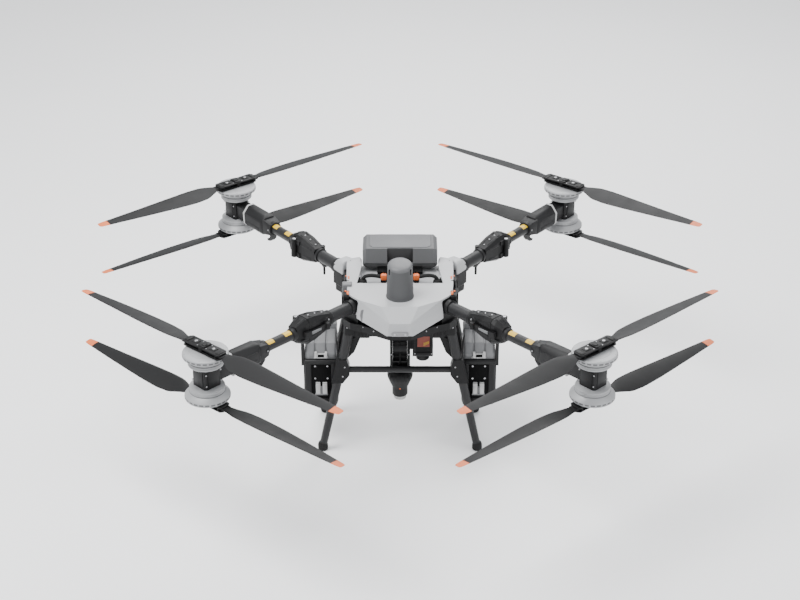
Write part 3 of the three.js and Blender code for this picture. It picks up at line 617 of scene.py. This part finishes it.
# ---------------------------------------------------------------- body
def cover_and_frame():
    """Cover, frame plates, side latches and the small parts around them."""
    dress("center_frame", "black", 1.6)
    dress("top_shell", "shell", 3.5, 3, 14)
    details, dark, steel, orange, lip, caps = [Shape() for _ in range(6)]
    for corner in ("rear_left", "rear_right"):
        caps.hull([(x, y, z) for x, w, z in (
            (-298 - 74, 40, -6), (-298 + 3, 40, -2), (-298 - 74, 40, 46), (-298 - 4, 36, 40),
            (-298 - 70, 30, 62), (-298 - 22, 24, 58)
        ) for y in (-w, w)], 7, arm_matrix(corner), 4)
    lip.hull([(sx * x, y, z) for sx in (-1, 1) for x, y, z in (
        (38, -350, 737), (38, -370, 737), (34, -376, 742), (34, -372, 757), (38, -350, 757)
    )], 2)
    for x in (-24, 24):
        screw(steel, (x, -374.5, 749), (0, -1, 0.15), 4.6, 2.4)
    for s in (-1, 1):
        for x, y in ((120, -300), (168, -262)):
            screw(steel, (s * x, y - 4, 728), (0, -1, 0.3), 3.2, 2)
        # Near-black discs on the cover where its holes are: painted shade.
        dark.lathe([[0, 0], [6, 0], [6.5, 0.8], [0, 0.9]], 32, along((s * 196, 2, 868.6), (0, 0.1, 1)))
        dark.lathe([[0, 0], [3, 0], [3.2, 0.7], [0, 0.8]], 24, along((s * 232, 96, 883), (0, 0, 1)))
        dark.lathe([[0, 0], [3, 0], [3.2, 0.7], [0, 0.8]], 24, along((s * 196, 116, 883.6), (0, 0, 1)))
        for y0 in (-112, 20):
            details.box(s * 261, s * 270, y0, y0 + 52, 744, 822, 2)
        for y0 in (-227, -79):
            details.box(s * 232, s * 258, y0 + 6, y0 + 66, 836, 863.5, 3)
            # A near-black strip on top of each block: painted shade in its slot.
            dark.box(s * 236, s * 254, y0 + 9, y0 + 20, 862.9, 864.2, 0.4)
            orange.hull([(s * (232 + x), y0 + 22 + y, z) for x, y, z in (
                (0, 0, 862), (10, 0, 862), (0, 26, 862), (14, 26, 862), (2, 2, 868), (8, 2, 868),
                (2, 22, 871), (11, 22, 871)
            )], 1.2)
            orange.box(s * 245, s * 253, y0 + 50, y0 + 60, 862, 867, 1.2)
        for k in range(5):
            details.box(s * 218, s * 219.5, -110 + 40 * k, -92 + 40 * k, 742, 790, 0.5)
            screw(steel, (s * 262, -128 + 52 * k, 752), (s, 0, 0), 3.2, 2)
        details.box(s * 120, s * 206, -228, -216, 704, 731, 2)
        details.box(s * 140, s * 205, -215, -130, 640, 701, 4)
        details.box(s * 60, s * 150, -250, -190, 668, 701, 4)
        details.hull([(s * x, y, z) for x, z in (
            (232, 650), (186, 640), (182, 604), (214, 520), (262, 468), (262, 560)
        ) for y in (-136, -112)], 3)
        for k in range(4):
            details.box(s * (148 + 14 * k), s * (154 + 14 * k), -218, -214, 646, 694, 1)
        details.pipe([(s * x, y, z) for x, y, z in (
            (196, -150, 700), (192, -152, 672), (176, -150, 650), (176, -140, 618), (200, -132, 600),
            (238, -134, 590)
        )], 7, 16)
    details.box(-150, 150, 206, 214, 704, 731, 2)
    details.box(-122, -54, -84, 10, 584, 660, 4)
    # Nine near-black strips for the box's grille: painted shade in the slots.
    for k in range(9):
        dark.box(-118, -62, -80.6, -79.4, 636 + 7 * k, 640 + 7 * k, 0.3)
    place("cover_shoulders", caps, "shell", "airframe", 50)
    place("nose_lip", lip, "lip", "airframe")
    place("frame_details", details, "black", "airframe")
    place("cover_hole_shade", dark, "recess_shade", "airframe")
    place("frame_screws", steel, "steel", "airframe")
    place("frame_latches", orange, "orange", "airframe")


def obstacle_sensor():
    """Sensor and its bolt under the left of the nose, and the small box on the left side."""
    sensor, glass, side_box = Shape(), Shape(), Shape()
    at = Matrix.Translation((-156, -256, 792)) @ Matrix.Rotation(math.radians(24), 4, "Z")
    sensor.hull([(x, y, z) for x, z in (
        (-26, -34), (-30, 0), (-24, 28), (-8, 40), (14, 34), (26, 12), (28, -34), (0, -42)
    ) for y in (-16, 26)], 6, at, 4)
    glass.lathe([
        [0, 0], [11, 0], [12, 1], [11, 3.2], [6, 5], [0, 5.6]
    ], 48, at @ along((-2, -16, 8), (0, -1, 0)))
    glass.lathe([[0, 0], [7, 0], [8, 1], [7, 2.6], [0, 3.6]], 48, at @ along((2, -16, -20), (0, -1, 0)))
    bolt = Shape().lathe([
        [0, 0], [9, 0], [10, 1], [10, 14], [8, 16], [0, 16]
    ], 48, along((-189, -238, 787), (-0.2, -1, 0.3)))
    screw(bolt, (-192, -253, 791.5), (-0.2, -1, 0.3), 6, 3)
    side_box.hull([(x, y, z) for x in (-266, -222) for y, z in (
        (-122, 806), (-84, 806), (-122, 866), (-84, 866), (-117, 871), (-89, 871)
    )], 4, None, 3)
    place("obstacle_sensor", sensor, "grey", "airframe")
    place("sensor_glass", glass, "lens", "airframe")
    place("sensor_bolt", bolt, "steel", "airframe")
    place("left_side_box", side_box, "grey", "airframe")


def tower_ring(r, z, slant=0.0, sides=96):
    """A ring of the tower; slant raises it towards the back."""
    angles = [2 * math.pi * i / sides for i in range(sides)]
    return [Vector((
        r * math.cos(a), TOWER_Y + r * math.sin(a), z + slant * r * math.sin(a)
    )) for a in angles]


def antenna_tower():
    """Tapered round tower with a sloping top in a lighter copy of its colour, painted light, and two slots
    in near-black, painted shade.
    """
    tower, tower_lit_top, tower_slots = Shape(), Shape(), Shape()
    slope = math.tan(math.radians(7))
    tower.loft([
        tower_ring(64, 860.4), tower_ring(64, 864), tower_ring(62, 867), tower_ring(61.6, 869),
        tower_ring(57.2, 1004, 0.0), tower_ring(57, 1012, slope)
    ])
    # The top uses a lighter copy of the tower colour: painted light on the upward-facing top.
    tower_lit_top.loft([
        tower_ring(57, 1012, slope), tower_ring(56.6, 1015, slope), tower_ring(55, 1020, slope),
        tower_ring(51, 1024.5, slope), tower_ring(46, 1026.6, slope), tower_ring(20, 1028, slope)
    ])
    # The slots are near-black slabs: painted shade in the openings.
    for s in (-1, 1):
        tower_slots.hull([(s * 47 + dx, TOWER_Y - 31 + dy, z) for dx in (-4, 4) for dy in (-3, 3)
                          for z in (985, 1012)], 1.5)
    obj = place("tower_body", tower, "tower", "airframe")
    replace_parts(obj, "antenna_tower")
    place("tower_cap", tower_lit_top, "tower_lit_top", "airframe")
    place("tower_slots", tower_slots, "recess_shade", "airframe")


def parachute_case():
    """Chamfered case with a darker bowl and a darker front notch (painted shade), a lighter lid panel
    (painted light on the top) and finned feet.
    """
    case = dress("parachute_case", "case", 5, 3, 25)
    # Faces of the case below 880.5 mm take the much darker copy of its colour: painted shade on the lower,
    # downward-facing part.
    case.data.materials.append(M["case_shade"])
    for face in case.data.polygons:
        if face.center.z < 0.8805:
            face.material_index = 1
    fins, seam = Shape(), Shape()
    for s in (-1, 1):
        fins.box(s * 59.2, s * 105.8, 17.2, 60, 838.6, 866.6, 1)
        for k in range(7):
            x = s * (61.5 + 6.8 * k)
            fins.box(x - 1.3, x + 1.3, 8, 62, 839, 870, 0.6)
    # The lid panel takes the lighter copy of the case colour: painted light on the top.
    seam.hull([(sx * x, y, z) for sx in (-1, 1) for x, y, z in (
        (128, 90, 955.4), (146, 112, 954.8), (146, 228, 951), (120, 238, 950.6), (126, 92, 957),
        (142, 112, 956.5), (142, 226, 952.6), (118, 234, 952.2), (128, 92, 948), (146, 226, 945)
    )], 1.2)
    # The downward-facing bowl takes the much darker copy of the case colour: painted shade under the case.
    bowl = Shape().hull([(sx * x, y, z) for sx in (-1, 1) for x, y, z in (
        (176, 66, 881), (176, 240, 881), (160.5, 57, 881.5), (159, 256, 882), (160, 59, 867),
        (176, 83, 866.5), (176, 240, 872), (147, 76.5, 849), (147, 242, 849)
    )], 5, None, 3)
    place("case_bowl", bowl, "case_shade", "airframe")
    place("case_fins", fins, "black", "airframe")
    place("case_lid_panel", seam, "case_lit_top", "airframe")
    # The notch takes the much darker copy of the case colour: painted shade in the recess.
    notch = Shape().box(-59.6, 59.6, 82, 85.2, 883, 952, 1)
    place("case_notch", notch, "case_shade", "airframe")


def power_cables():
    """Arched cables, each from a ribbed gland to an orange plug on its stand."""
    for label, s in SIDES:
        y = CABLE_Y
        knots = [
            (172, 846), (171.5, 858), (169, 868), (160, 876), (148, 880), (132, 881.5), (116, 880),
            (100, 877), (86, 874)
        ]
        cable = Shape().pipe([(s * x, y, z) for x, z in knots], 8.9, 32)
        cable.lathe(
            [
                [0, DECK_Z], [21, DECK_Z], [21, 842], [18.5, 844], [18.5, 854], [17, 856], [14, 860],
                [10, 862], [0, 862]
            ], 48, Matrix.Translation((s * 172, y, 0)),
            lambda a, r, z: r - (1 if 843 < z < 855 and math.sin(a * 20) > 0 else 0)
        )
        obj = place(f"{label}_cable", cable, "rubber", "airframe")
        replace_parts(obj, f"{label}_power_cable")
        plug = Shape().hull([(s * x, y + dy, z) for x, w, z0, z1 in (
            (62, 12, 863, 885), (84, 12.6, 861.4, 886.6), (90, 9, 865, 883)
        ) for dy in (-w, w) for z in (z0, z1)], 2.4, None, 3)
        for k in range(3):
            plug.box(s * (67 + 6 * k), s * (70 + 6 * k), y - 12.9, y + 12.9, 860.8, 887.2, 0.8)
        place(f"{label}_plug", plug, "orange", "airframe")
        stand = Shape().box(s * 64, s * 86, y - 8, y + 22, DECK_Z, 862, 1.5)
        stand.box(s * 60, s * 90, y + 12, y + 20, DECK_Z, 880, 1.5)
        place(f"{label}_plug_stand", stand, "black", "airframe")


# ---------------------------------------------------------------- landing gear
def landing_gear():
    """Leg tubes, collars and shoes, and the front cross tube."""
    rubber, shafts, collars, leg_screws = Shape(), Shape(), Shape(), Shape()
    for fy, y in LEG_Y.items():
        for side_name, s in SIDES:
            dress(f"{fy}_{side_name}_leg", "black", 2, 2)
            top, foot = Vector((s * 232.3, y, 670)), Vector((s * 369.6, y, 16))
            drop = foot - top
            shafts.lathe([[0, 0], [23.5, 0], [18.0, drop.length], [0, drop.length]], 64, along(top, drop))
            collars.lathe([
                [0, 0], [26, 0], [27, 2], [26.4, 34], [24.5, 38], [0, 38]
            ], 64, along(top - drop.normalized() * 6, drop))
            rubber.lathe(
                [
                    [0, 0], [16, 0], [19.5, 1.2], [23.4, 5], [24, 9], [24, 30], [22, 36], [19, 42],
                    [0, 42]
                ], 64, Matrix.Translation((s * 369, y, 0)),
                lambda a, r, z: r - (0.8 if 8 < z < 31 and math.sin(24 * a) > 0 else 0)
            )
            for sgn in (-1, 1):
                screw(leg_screws, (s * 226 + sgn * 18, y - 27, 684), (0, -1, 0), 3.4, 2)
    dress("front_crossbar", "black", 2, 2)
    bar = Shape().lathe(
        [[0, 0], [15.3, 0], [15.3, 500], [0, 500]], 56, along((-250, LEG_Y["front"], BAR_Z), (1, 0, 0))
    )
    for s in (-1, 1):
        for z in (470, 420):
            screw(leg_screws, (s * (258 if z > 440 else 268), -190, z), (0, -1, 0), 3.6, 2)
    place("leg_tubes", shafts, "tube", "airframe")
    place("leg_collars", collars, "housing", "airframe")
    place("leg_shoes", rubber, "rubber", "airframe")
    place("crossbar_tube", bar, "tube", "airframe")
    place("leg_screws", leg_screws, "steel", "airframe")


# ---------------------------------------------------------------- batteries
def batteries():
    """Battery trays, battery caps with their grips, and the two-finger latches."""
    for label, s in SIDES:
        dress(f"{label}_battery_tray", "housing", 4, 3)
        dress(f"{label}_battery", "battery", 4, 3)
        dress(f"{label}_battery_latch", "battery", 2, 2)
        tray, inset, screws = Shape(), Shape(), Shape()
        for x0, x1 in ((298, 324), (418, 446)):
            tray.hull([(s * x, yy, z) for x in (x0, x1) for yy, z in (
                (-125, 240), (-131, 246), (-131, 462), (-125, 470)
            )], 2.5, None, 3)
        tray.hull([(s * x, yy, z) for x in (292, 450) for yy, z in (
            (-126, 448), (-133, 454), (-133, 468), (-126, 474)
        )], 2.5, None, 3)
        tray.box(s * 330, s * 412, -128, -124, 240, 262, 1.5)
        for k in range(4):
            tray.box(s * 452, s * 455, -100 + 52 * k, -76 + 52 * k, 250, 440, 1.2)
        # A near-black sheet in the recess between the rails: painted shade.
        inset.box(s * 325, s * 417, -126.2, -124.4, 262, 446, 0.6)
        for x in (342, 400):
            for z in (438, 372):
                screw(screws, (s * x, -126, z), (0, -1, 0), 4.6, 2)
        place(f"{label}_tray_rails", tray, "housing", "airframe")
        place(f"{label}_tray_inset", inset, "recess_shade", "airframe")
        place(f"{label}_tray_screws", screws, "steel", "airframe")
        cap, grip = Shape(), Shape()
        for x0, x1 in ((304, 342), (349, 394), (401, 438)):
            cap.hull([(s * x, yy, z) for x in (x0, x1) for yy, z in (
                (-122, 484), (-122, 504), (-101, 553), (6, 569), (6, 500), (-100, 484)
            )], 4, None, 3)
        cap.hull([(s * x, yy, z) for x in (302, 438) for yy, z in (
            (-120, 474), (-120, 486), (-100, 490), (-100, 474)
        )], 2.5)
        for k in range(3):
            cap.box(s * 310, s * 380, 24 + 24 * k, 34 + 24 * k, 588, 592.5, 1.4)
        grip.hull([(s * LATCH_X + x, yy, z) for x, z in (
            (-34, 482), (34, 482), (-24, 506), (24, 506)
        ) for yy in (-128, -118)], 2)
        grip.box(s * LATCH_X - 30, s * LATCH_X - 18, -131, -120, 484, 516, 2)
        grip.box(s * LATCH_X + 18, s * LATCH_X + 30, -131, -120, 484, 516, 2)
        place(f"{label}_battery_cap", cap, "battery", f"{label}_battery")
        place(f"{label}_battery_grip", grip, "pale", f"{label}_battery")
        # A near-black slab where the grip's opening is: painted shade in the hole.
        hole = Shape().box(s * LATCH_X - 15, s * LATCH_X + 15, -129, -127.4, 488, 503, 0.6)
        place(f"{label}_grip_opening", hole, "recess_shade", f"{label}_battery")
        fingers, gap = Shape(), Shape()
        for x in (-16, 16):
            mid = s * LATCH_X + x
            fingers.hull([(mid + dx, yy, z) for dx in (-10.5, 10.5) for yy, z in (
                (-126, 292), (-137, 292), (-138, 346), (-134, 353), (-126, 353)
            )], 2, None, 3)
            for k in range(4):
                fingers.box(mid - 8, mid + 8, -139.4, -136, 324 + 7 * k, 327 + 7 * k, 0.8)
            # Near-black slabs where the slits between the fingers are: painted shade in the slits.
            slit = s * LATCH_X + x * 0.42
            gap.box(slit - 2.4, slit + 2.4, -135.2, -134, 298, 344, 0.5)
        place(f"{label}_latch_fingers", fingers, "pale", f"{label}_battery_latch")
        place(f"{label}_latch_slots", gap, "recess_shade", f"{label}_battery_latch")


# ---------------------------------------------------------------- winch and hook
def winch():
    """Winch frame, drum with its wound rope, gear box and patch."""
    dress("winch_frame", "black", 1.8, 2)
    drum = Shape().lathe([
        [0, -44], [7.8, -44], [7.8, -35], [33, -35], [34, -34], [34, -31], [33, -30.4], [23, -30.2],
        [23, 30.2], [33, 30.4], [34, 31], [34, 34], [33, 35], [7.8, 35], [7.8, 44], [0, 44]
    ], 72, along((0, DRUM_Y, DRUM_Z), (1, 0, 0)))
    for k in range(6):
        a = k * math.pi / 3
        screw(drum, (35, DRUM_Y + 22 * math.cos(a), DRUM_Z + 22 * math.sin(a)), (1, 0, 0), 3.4, 2)
    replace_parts(place("drum_body", drum, "steel", "winch_drum"), "winch_drum")
    winding = []
    for i in range(521):
        a = i * 2 * math.pi / 36
        winding.append((-29.5 + 59 * i / 520, DRUM_Y + 25.6 * math.cos(a), DRUM_Z + 25.6 * math.sin(a)))
    turns = Shape().pipe(winding, 3.7, 10)
    place("drum_rope", turns, "rope", "winch_drum")
    trim, screws, patch = Shape(), Shape(), Shape()
    for s in (-1, 1):
        trim.box(s * 44, s * 48, -38, -26, 380, 560, 1.2)
        trim.box(s * 44, s * 48, 26, 38, 380, 560, 1.2)
        for z in (388, 452, 540, 640):
            screw(screws, (s * 42, -41, z), (0, -1, 0), 3, 2.2)
        trim.lathe([
            [0, 0], [16, 0], [17, 1.5], [17, 5], [15, 7], [0, 7]
        ], 40, along((s * 45, DRUM_Y, DRUM_Z), (s, 0, 0)))
    trim.box(-34.6, 34.6, 16, 24, 380, 686, 1.5)
    for k in range(7):
        trim.box(-30, 30, 12, 17, 400 + 40 * k, 416 + 40 * k, 1.5)
    trim.box(-34, 34, -44, -40, 470, 500, 1.5)
    trim.box(-34, 34, -44, -40, 660, 686, 1.5)
    for z in (462, 668):
        trim.box(64, 152, -63, -60, z, z + 14, 1.5)
    for x in (66, 146):
        trim.box(x, x + 8, -63, -60, 462, 682, 1.5)
        for z in (470, 676):
            screw(screws, (x + 4, -63, z), (0, -1, 0), 3.2, 2)
    trim.lathe(
        [[0, 0], [30, 0], [31.5, 2], [31.5, 30], [28, 34], [0, 34]], 64,
        along((108, -10, 450), (0, 0, -1)),
        lambda a, r, z: r - (1.6 if 4 < z < 29 and math.sin(a * 28) > 0 else 0)
    )
    patch.hull([(x, yy, z) for x, z in (
        (82, 506), (140, 506), (140, 588), (104, 588), (82, 566)
    ) for yy in (-62.4, -60)], 0.8)
    place("winch_ribs", trim, "housing", "airframe")
    place("winch_screws", screws, "steel", "airframe")
    place("winch_patch", patch, "patch", "airframe")
    marks = Shape()
    for k in range(5):
        marks.box(112 + 5.4 * k, 114.6 + 5.4 * k, -63.2, -62.2, 512 + 3 * k, 530 + 2 * k, 0.3)
    place("winch_patch_bars", marks, "yellow", "airframe")


def ribbed(a, r, z):
    """The hook's radius: a belt of ribs set into its widest part."""
    if not 300 < z < 350:
        return r
    rib = max(0.0, math.cos(20 * a)) * math.sin(math.pi * (z - 304) / 46) if z > 304 else 0
    return r + 2.2 * rib - 1.6


def cargo_hook():
    """Ribbed hook weight with its tip, mark and straight rope."""
    hook = Shape().lathe([
        [0, 213], [35, 213], [37, 216], [37, 254], [37.6, 257], [44, 272], [52, 290], [58, 302],
        [60.4, 308], [61.2, 314], [61.2, 320], [60, 328], [56, 336], [50, 343], [42, 348], [30, 350],
        [20, 351], [20, 361], [18.5, 364], [0, 364]
    ], 160, None, ribbed)
    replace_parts(place("hook_body", hook, "housing", "cargo_hook", 40), "cargo_hook")
    tip = Shape().lathe(
        [[0, 190.2], [24, 190.2], [28, 192], [30, 195], [31, 213], [0, 213]], 96, None,
        lambda a, r, z: r - (2.4 if 191 < z < 214 and r > 20 and math.sin(a * 12) > 0.2 else 0)
    )
    place("hook_tip", tip, "pale", "cargo_hook")
    dot = Shape().lathe([
        [0, 0], [4.6, 0], [4.6, 1.4], [3.4, 2.6], [0, 3]
    ], 32, along((0, -37.4, 262), (0, -1, -0.25)))
    place("hook_mark", dot, "orange", "cargo_hook")
    rope = Shape().pipe(
        [(0, 0, 356 + 3.3 * i) for i in range(101)], 3.6, 12, ripple=lambda i: 0.35 * (i % 2)
    )
    place("hook_rope", rope, "rope", "cargo_hook")


# ---------------------------------------------------------------- floor, light and camera
def studio():
    """Pale floor, soft lights and the camera at the photograph's view."""
    floor_mat = material("floor", (0.93, 0.93, 0.93), 0.7, vary=0.015, cloud=1.2, grain=60, bump=0.0)
    bpy.ops.mesh.primitive_plane_add(size=60, location=(0, 10, -0.0005))
    floor = bpy.context.object
    floor.name = "floor"
    floor.data.materials.append(floor_mat)
    world = bpy.data.worlds.new("studio")
    bpy.context.scene.world = world
    world.use_nodes = True
    world.node_tree.nodes["Background"].inputs["Color"].default_value = (0.95, 0.97, 1.0, 1)
    world.node_tree.nodes["Background"].inputs["Strength"].default_value = 1.1
    for name, loc, size, power in (
        ("key", (-2.4, -1.2, 5.8), 3.0, 500), ("fill", (4.6, -3.2, 3.8), 4.0, 130),
        ("rim", (0.8, 4.4, 5.0), 4.0, 320)
    ):
        lamp = bpy.data.lights.new(name, "AREA")
        lamp.energy = power
        lamp.size = size
        obj = bpy.data.objects.new(name, lamp)
        obj.location = loc
        obj.rotation_euler = (Vector((0, 0, 0.6)) - Vector(loc)).to_track_quat("-Z", "Y").to_euler()
        bpy.context.scene.collection.objects.link(obj)
    cam = bpy.data.cameras.new("camera")
    cam.lens = 82.4
    cam.sensor_width = 36
    cam_obj = bpy.data.objects.new("camera", cam)
    cam_obj.location = (0, -7.543, 4.832)
    cam_obj.rotation_euler = (math.radians(90 - 28.57), 0, 0)
    bpy.context.scene.collection.objects.link(cam_obj)
    bpy.context.scene.camera = cam_obj


for corner in CORNERS:
    arm(corner)
    propeller(corner, "upper")
    propeller(corner, "lower")
cover_and_frame()
obstacle_sensor()
antenna_tower()
parachute_case()
power_cables()
landing_gear()
batteries()
winch()
cargo_hook()
studio()
